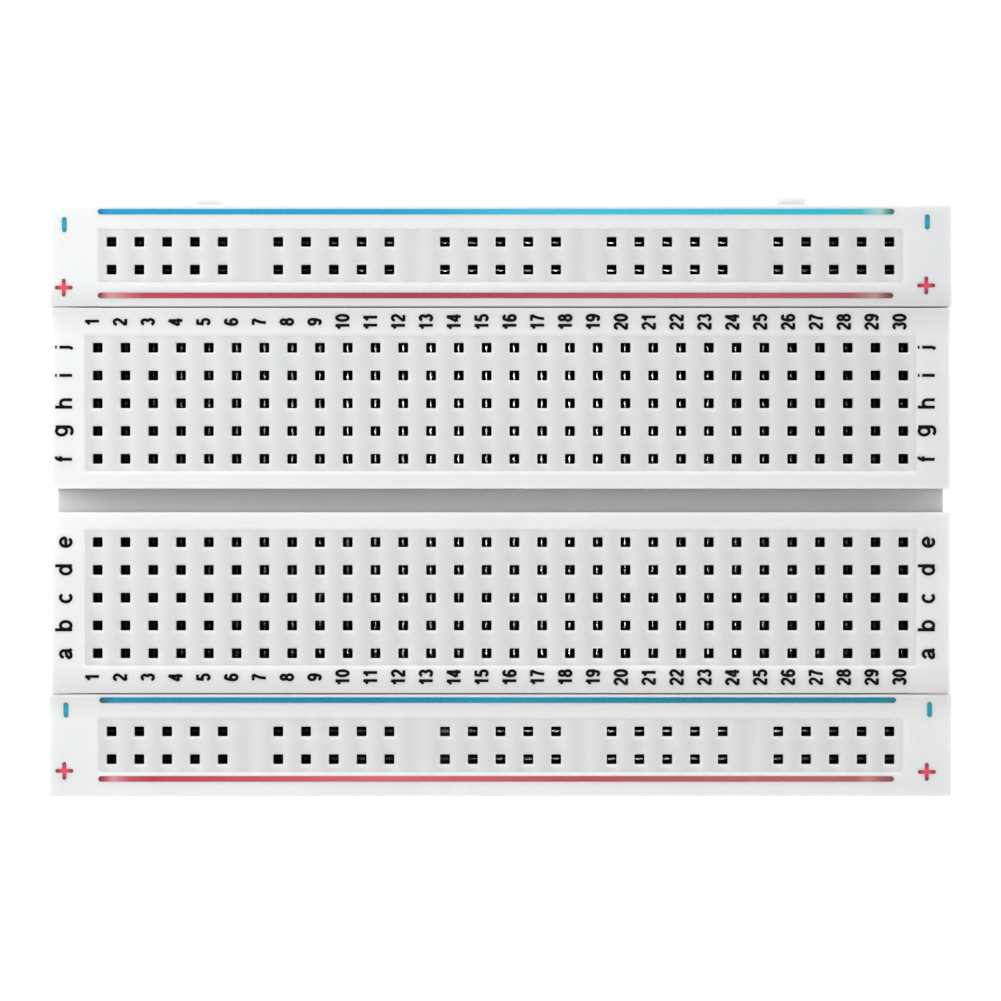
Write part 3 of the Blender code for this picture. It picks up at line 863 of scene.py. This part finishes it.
# Each glyph is (width, strokes), with its base line at v = 0. The digits are in units of the cap height.
DIGITS = {
    "0": (0.52, [ellipse(0.26, 0.5, 0.175, 0.42, 0, 360, 28)]),
    "1": (0.50, [[(0.07, 0.70), (0.17, 0.76), (0.26, 0.86), (0.31, 1.0)], [(0.30, 1.0), (0.30, 0.0)]]),
    "2": (
        0.52,
        [
            ellipse(0.255, 0.70, 0.17, 0.22, 175, -22, 12)
            + [(0.36, 0.50), (0.22, 0.33), (0.10, 0.16), (0.085, 0.08)],
            [(0.04, 0.08), (0.46, 0.08)],
        ],
    ),
    "3": (
        0.52,
        [
            ellipse(0.25, 0.72, 0.155, 0.20, 165, -85, 14),
            ellipse(0.25, 0.30, 0.175, 0.22, 88, -165, 16),
        ],
    ),
    "4": (0.54, [[(0.36, 1.0), (0.05, 0.31)], [(0.02, 0.29), (0.50, 0.29)], [(0.36, 1.0), (0.36, 0.0)]]),
    "5": (
        0.52,
        [
            [(0.44, 0.92), (0.15, 0.92), (0.10, 0.48)],
            ellipse(0.255, 0.33, 0.175, 0.25, 140, -160, 18),
        ],
    ),
    "6": (0.52, [SIX_BACK, SIX_BOWL]),
    "7": (0.50, [[(0.04, 0.92), (0.45, 0.92)], [(0.43, 0.90), (0.33, 0.70), (0.24, 0.42), (0.19, 0.0)]]),
    "8": (
        0.52,
        [
            ellipse(0.26, 0.725, 0.145, 0.20, 0, 360, 20),
            ellipse(0.26, 0.295, 0.175, 0.225, 0, 360, 22),
        ],
    ),
    "9": (0.52, [[(0.52 - u, 1.0 - v) for u, v in line] for line in (SIX_BACK, SIX_BOWL)]),
}
# The letters are in units of the x-height. Ascenders reach 1.34.
LETTERS = {
    "a": (
        0.90,
        [
            [(0.12, 0.66)]
            + ellipse(0.40, 0.66, 0.27, 0.25, 150, 0, 9)
            + [(0.68, 0.25), (0.74, 0.10), (0.80, 0.04)],
            [
                (0.66, 0.52),
                (0.45, 0.46),
                (0.22, 0.40),
                (0.10, 0.25),
                (0.16, 0.11),
                (0.34, 0.08),
                (0.55, 0.15),
                (0.66, 0.30),
            ],
        ],
    ),
    "b": (0.86, [[(0.10, 1.34), (0.10, 0.0)], ellipse(0.44, 0.50, 0.31, 0.42, 0, 360, 24)]),
    "c": (0.86, [ellipse(0.44, 0.50, 0.33, 0.42, 42, 318, 20)]),
    "d": (0.86, [[(0.76, 1.34), (0.76, 0.0)], ellipse(0.42, 0.50, 0.31, 0.42, 0, 360, 24)]),
    "e": (0.90, [[(0.12, 0.50), (0.80, 0.50)], ellipse(0.46, 0.50, 0.34, 0.42, 0, 322, 24)]),
    "f": (
        0.52,
        [
            [(0.22, 0.0), (0.22, 1.02)] + ellipse(0.42, 1.05, 0.20, 0.22, 180, 85, 6),
            [(0.04, 0.92), (0.46, 0.92)],
        ],
    ),
    "g": (
        0.86,
        [
            ellipse(0.42, 0.84, 0.31, 0.40, 0, 360, 24),
            [(0.76, 1.30), (0.76, 0.27)] + ellipse(0.43, 0.26, 0.33, 0.27, 0, -150, 10),
        ],
    ),
    "h": (
        0.86,
        [
            [(0.12, 1.34), (0.12, 0.0)],
            [(0.12, 0.62)] + ellipse(0.42, 0.60, 0.28, 0.32, 150, 0, 10) + [(0.70, 0.0)],
        ],
    ),
    "i": (0.24, [[(0.12, 1.0), (0.12, 0.0)], [(0.12, 1.34), (0.12, 1.20)]]),
    "j": (0.30, [[(0.18, 1.0), (0.18, 0.20), (0.13, 0.06), (0.0, 0.0)], [(0.18, 1.34), (0.18, 1.20)]]),
}


class Print:
    """Gathers flat ink strokes and makes one thin object of them."""

    def __init__(self):
        self.mesh = Build()
        self.count = 0

    def stroke(self, points, width, closed=False, round_ends=False):
        """A band of ink along points. A closed line's last point repeats its first."""
        points = [Vector(p) for p in points]
        if closed:
            points = points[:-1]
        n = len(points)
        left, right = [], []
        for i, p in enumerate(points):
            before = points[i - 1] if (i or closed) else None
            after = points[(i + 1) % n] if (i < n - 1 or closed) else None
            d0 = (p - before).normalized() if before is not None else None
            d1 = (after - p).normalized() if after is not None else None
            d = ((d0 or d1) + (d1 or d0)).normalized()
            normal = Vector((-d.y, d.x))
            reach = width / 2
            if d0 is not None and d1 is not None:
                reach /= max(0.6, d.dot(d1))
            left.append(p + normal * reach)
            right.append(p - normal * reach)
        self.count += 1
        z0 = TOP - INK_ROOT
        z1 = INK_Z + PRINT_LIFT * ((self.count % LIFT_STEPS) / LIFT_STEPS)
        if round_ends:
            run = (points[-1] - points[-2]).normalized()
            heading = math.atan2(run.y, run.x)
            turns = [heading + math.pi * (k / 8 - 0.5) for k in range(1, 8)]
            arc = [Vector((math.cos(t), math.sin(t))) * (width / 2) for t in turns]
            outline = right + [points[-1] + a for a in arc]
            outline += left[::-1] + [points[0] - a for a in arc]
            self.mesh.loft([[(*v, z) for v in outline] for z in (z0, z1)], caps=(True, True))
            return
        verts = [(*v, z) for z in (z1, z0) for v in left + right]
        faces = [] if closed else [(0, 2 * n, 3 * n, n), (n - 1, 2 * n - 1, 4 * n - 1, 3 * n - 1)]
        for i in range(n if closed else n - 1):
            j = (i + 1) % n
            faces.append((n + i, n + j, j, i))
            faces.append((i, j, 2 * n + j, 2 * n + i))
            faces.append((n + j, n + i, 3 * n + i, 3 * n + j))
            faces.append((2 * n + i, 2 * n + j, 3 * n + j, 3 * n + i))
        self.mesh.add(verts, faces)

    def word(self, text, glyphs, centre, size, width, gap=0.0, stretch=1.0):
        """Text whose top points to -X and which reads towards +Y, centred on centre."""
        reach = size * stretch
        total = sum(glyphs[c][0] for c in text) * reach + gap * (len(text) - 1)
        along = -total / 2
        for char in text:
            advance, strokes = glyphs[char]
            for line in strokes:
                closed = len(line) > 4 and (Vector(line[0]) - Vector(line[-1])).length < 1e-4
                points = [(centre[0] - (v - 0.5) * size, centre[1] + along + u * reach) for u, v in line]
                self.stroke(points, width, closed)
            along += advance * reach + gap

    def object(self, name, material, body, place=(0, 0, 0)):
        """The strokes as one object on a body. place is where the strokes' own origin lies."""
        obj = self.mesh.object(name)
        obj.data.transform(Matrix.Translation((0, 0, -place[2])))
        to_metres(obj)
        obj.location = Vector(place) * MM
        bm = bmesh.new()
        bm.from_mesh(obj.data)
        bmesh.ops.recalc_face_normals(bm, faces=bm.faces)
        bm.to_mesh(obj.data)
        bm.free()
        obj.data.materials.append(material)
        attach(obj, body)
        return obj


INK_BLACK = ink_material("ink_black", [(0, (4, 4, 5))])
NUMBER_YS = (16.32, -16.15)
NUMBER_SHIFT, NUMBER_CREEP = -0.48, 0.10  # along X from a column's centre, and what the last one adds
NUMBER_SIZE, NUMBER_STRETCH = 1.27, 1.08
NUMBER_STROKE, NUMBER_GAP = 0.265, 0.05
LETTER_XS = (-39.72, 39.1)
LETTER_SIZE, LETTER_STROKE = 1.16, 0.28


def legends():
    """Column numbers and row letters."""
    numbers, letters = Print(), Print()
    for y in NUMBER_YS:
        for column in range(COLUMNS):
            x = COLUMN_XS[column] + NUMBER_SHIFT + NUMBER_CREEP * (column / (COLUMNS - 1)) ** 2
            text = str(column + 1)
            numbers.word(text, DIGITS, (x, y), NUMBER_SIZE, NUMBER_STROKE, NUMBER_GAP, NUMBER_STRETCH)
    numbers.object("column_numbers", INK_BLACK, "terminal_strip")
    rows = [(c, -y) for c, y in zip("edcba", ROW_YS)] + [(c, y) for c, y in zip("fghij", ROW_YS)]
    for char, y in rows:
        for x in LETTER_XS:
            letters.word(char, LETTERS, (x, y), LETTER_SIZE, LETTER_STROKE)
    letters.object("row_letters", INK_BLACK, "terminal_strip")


# For each body (name, y, stops), where the stops (x, ink colour) run from the line's first end to its last.
# The ink thins out near some ends.
LINES = {
    "rear_rail": (
        ("blue_line", 26.39, (
            (-36.55, (15, 110, 150)), (-36.1, (15, 145, 190)), (-10, (18, 152, 196)),
            (4, (55, 180, 208)), (18, (45, 182, 204)), (31, (18, 178, 198)),
            (33.0, (55, 180, 190)), (34.7, (165, 208, 210)), (35.3, (90, 145, 150)),
            (35.75, (60, 110, 115)),
        )),
        ("red_line", 18.74, (
            (-36.55, (120, 45, 60)), (-36.25, (160, 95, 100)), (-35.6, (200, 140, 135)),
            (-34, (182, 92, 100)), (-32.5, (172, 58, 74)), (-8, (156, 52, 66)),
            (22, (180, 72, 90)), (32, (160, 75, 86)), (34.3, (180, 135, 128)),
            (35.1, (135, 80, 85)), (35.65, (110, 60, 68)),
        )),
    ),
    "front_rail": (
        ("blue_line", -18.24, (
            (-36.4, (20, 85, 95)), (-36.0, (10, 110, 135)), (-35.2, (8, 130, 160)),
            (-12, (6, 120, 152)), (0, (12, 138, 165)), (18, (8, 118, 142)),
            (35.2, (8, 122, 142)), (35.9, (15, 115, 130)),
        )),
        ("red_line", -25.44, (
            (-36.5, (135, 35, 65)), (-36.1, (170, 70, 90)), (-35.4, (206, 138, 144)),
            (-34, (178, 75, 90)), (-32, (174, 52, 72)), (-10, (198, 92, 106)),
            (8, (172, 70, 86)), (25, (176, 88, 96)), (32.5, (166, 88, 92)),
            (33.6, (186, 126, 122)), (34.5, (166, 90, 92)), (35.7, (130, 70, 72)),
        )),
    ),
}  # fmt: skip
LINE_WIDTH = 0.5
LINE_STEPS = 24
# (distance from a sign's middle, ink colour)
TEAL = [(0.0, (20, 150, 172)), (0.45, (24, 142, 166)), (0.75, (35, 100, 110))]
ROSE = [(0.0, (232, 66, 100)), (0.3, (205, 62, 88)), (0.55, (160, 55, 72)), (0.85, (95, 42, 52))]
# For each body the places of its two minus signs, then of its two plus signs
SIGNS = {
    "rear_rail": (((-39.85, 25.2), (39.0, 25.45)), ((-39.9, 19.45), (38.9, 19.65))),
    "front_rail": (((-39.7, -19.15), (39.2, -19.1)), ((-39.85, -24.7), (38.95, -24.8))),
}


MINUS_REACH, MINUS_WIDTH = 0.47, 0.44
PLUS_REACH, PLUS_WIDTH = 0.64, 0.36


def rail_print():
    """The rails' lines and signs."""
    minus_ink = ink_material("ink_minus", TEAL, "R")
    plus_ink = ink_material("ink_plus", ROSE, "R")
    for body in LINES:
        for name, y, stops in LINES[body]:
            line = Print()
            x0, x1 = stops[0][0], stops[-1][0]
            points = [(x0 + (x1 - x0) * k / LINE_STEPS, y) for k in range(LINE_STEPS + 1)]
            line.stroke(points, LINE_WIDTH, round_ends=True)
            line.object(f"{body}_{name}", ink_material(f"ink_{body}_{name}", stops, "X"), body)
        for kind, places in zip(("minus", "plus"), SIGNS[body]):
            for side, place in zip(("left", "right"), places):
                sign = Print()
                if kind == "minus":
                    bar = [(0, -MINUS_REACH), (0, 0), (0, MINUS_REACH)]
                    sign.stroke(bar, MINUS_WIDTH, round_ends=True)
                    ink = minus_ink
                else:
                    bar = [(0, -PLUS_REACH), (0, 0), (0, PLUS_REACH)]
                    sign.stroke(bar, PLUS_WIDTH, round_ends=True)
                    sign.stroke([(y, x) for x, y in bar], PLUS_WIDTH, round_ends=True)
                    ink = plus_ink
                sign.object(f"{body}_{kind}_{side}", ink, body, (*place, TOP))


# ---------------------------------------------------------------- assembly
strip = terminal_strip()
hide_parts("terminal_strip_housing")
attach(strip, "terminal_strip")
for side_name in ("rear", "front"):
    piece = rail(side_name)
    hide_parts(side_name + "_rail_housing")
    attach(piece, side_name + "_rail")
contacts()
backing("terminal_strip", STRIP_HALF_X, -STRIP_HALF_Y, STRIP_HALF_Y)
backing("rear_rail", RAIL_HALF_X, RAIL_IN, RAIL_OUT)
backing("front_rail", RAIL_HALF_X, -RAIL_OUT, -RAIL_IN)
legends()
rail_print()


# ---------------------------------------------------------------- stage
SKY = 0.36
ZENITH = 0.14  # of the sky's strength, straight up
# name, place (m), width and height (m), power (W)
LAMPS = (
    ("left", (-0.12, 0.02, 0.10), (0.06, 0.10), 0.10),
    ("rear", (0.0, 0.36, 0.34), (0.25, 0.25), 1.08),
    ("front", (0.0, -0.36, 0.34), (0.25, 0.25), 0.68),
    ("right", (0.30, 0.0, 0.30), (0.25, 0.25), 0.47),
)
# Narrow beams from overhead that make the contacts glint.
# name, place, aim (m), width and height (m), power (W), spread (degrees)
BEAMS = (
    ("beam_rear", (0.026, 0.018, 0.92), (0.006, 0.010, 0.008), (0.05, 0.03), 0.0002, 3.6),
    ("beam_front", (0.036, -0.046, 0.92), (0.028, -0.022, 0.008), (0.10, 0.014), 0.0004, 3.0),
)
FULL_SPREAD = 180.0
MATT_LAMPS = ("left",)  # low ones, which would glare off the top in a view from the other side
FLOOR_SIZE = 4.0
FLOOR_Z = -0.0002  # just under the release papers
FLOOR_GLOW = 0.45
CAMERA_HEIGHT = 0.9
SENSOR = 36.0
VIEW_WIDTH = 91.4573  # of the top face's plane, in millimetres


def stage():
    """Pale floor, soft sky, four lamps and two narrow beams."""
    bpy.ops.mesh.primitive_plane_add(size=FLOOR_SIZE, location=(0, 0, FLOOR_Z))
    floor = bpy.context.object
    floor.name = "floor"
    made, _, shader = new_material("floor", (0.98, 0.98, 0.98), 0.9, specular=0.1)
    shader.inputs["Emission Color"].default_value = (1, 1, 1, 1)
    shader.inputs["Emission Strength"].default_value = FLOOR_GLOW
    floor.data.materials.append(made)

    world = bpy.data.worlds.new("studio")
    bpy.context.scene.world = world
    world.use_nodes = True
    tree = world.node_tree
    background = tree.nodes["Background"]
    background.inputs["Strength"].default_value = SKY
    coords = node(tree, "ShaderNodeTexCoord").outputs["Generated"]
    split = node(tree, "ShaderNodeSeparateXYZ")
    tree.links.new(coords, split.inputs[0])
    tent = ramp(tree, split.outputs["Z"], [(0.0, 1.0), (0.75, 1.0), (0.97, ZENITH)])
    tree.links.new(tent, background.inputs["Color"])

    centre = (0.0, 0.0, 0.0)
    lamps = [(name, place, centre, size, power, FULL_SPREAD) for name, place, size, power in LAMPS]
    for name, place, aim, size, power, spread in lamps + list(BEAMS):
        lamp = bpy.data.lights.new(name, "AREA")
        lamp.spread = math.radians(spread)
        lamp.shape = "RECTANGLE"
        lamp.size, lamp.size_y = size
        lamp.energy = power
        obj = bpy.data.objects.new(name, lamp)
        obj.location = place
        obj.rotation_mode = "QUATERNION"
        obj.rotation_quaternion = (Vector(aim) - Vector(place)).to_track_quat("-Z", "Y")
        obj.visible_glossy = name not in MATT_LAMPS
        obj.visible_camera = False
        bpy.context.collection.objects.link(obj)


def camera():
    """Straight down, from far enough away to show no side walls."""
    cam = bpy.data.cameras.new("camera")
    obj = bpy.data.objects.new("camera", cam)
    bpy.context.collection.objects.link(obj)
    cam.sensor_width = SENSOR
    cam.lens = SENSOR * (CAMERA_HEIGHT - TOP * MM) / (VIEW_WIDTH * MM)
    cam.clip_start, cam.clip_end = 0.05, 10
    obj.location = (0.0, 0.0, CAMERA_HEIGHT)
    bpy.context.scene.camera = obj


stage()
camera()
bpy.context.scene.view_settings.view_transform = "Standard"
bpy.context.scene.view_settings.look = "None"
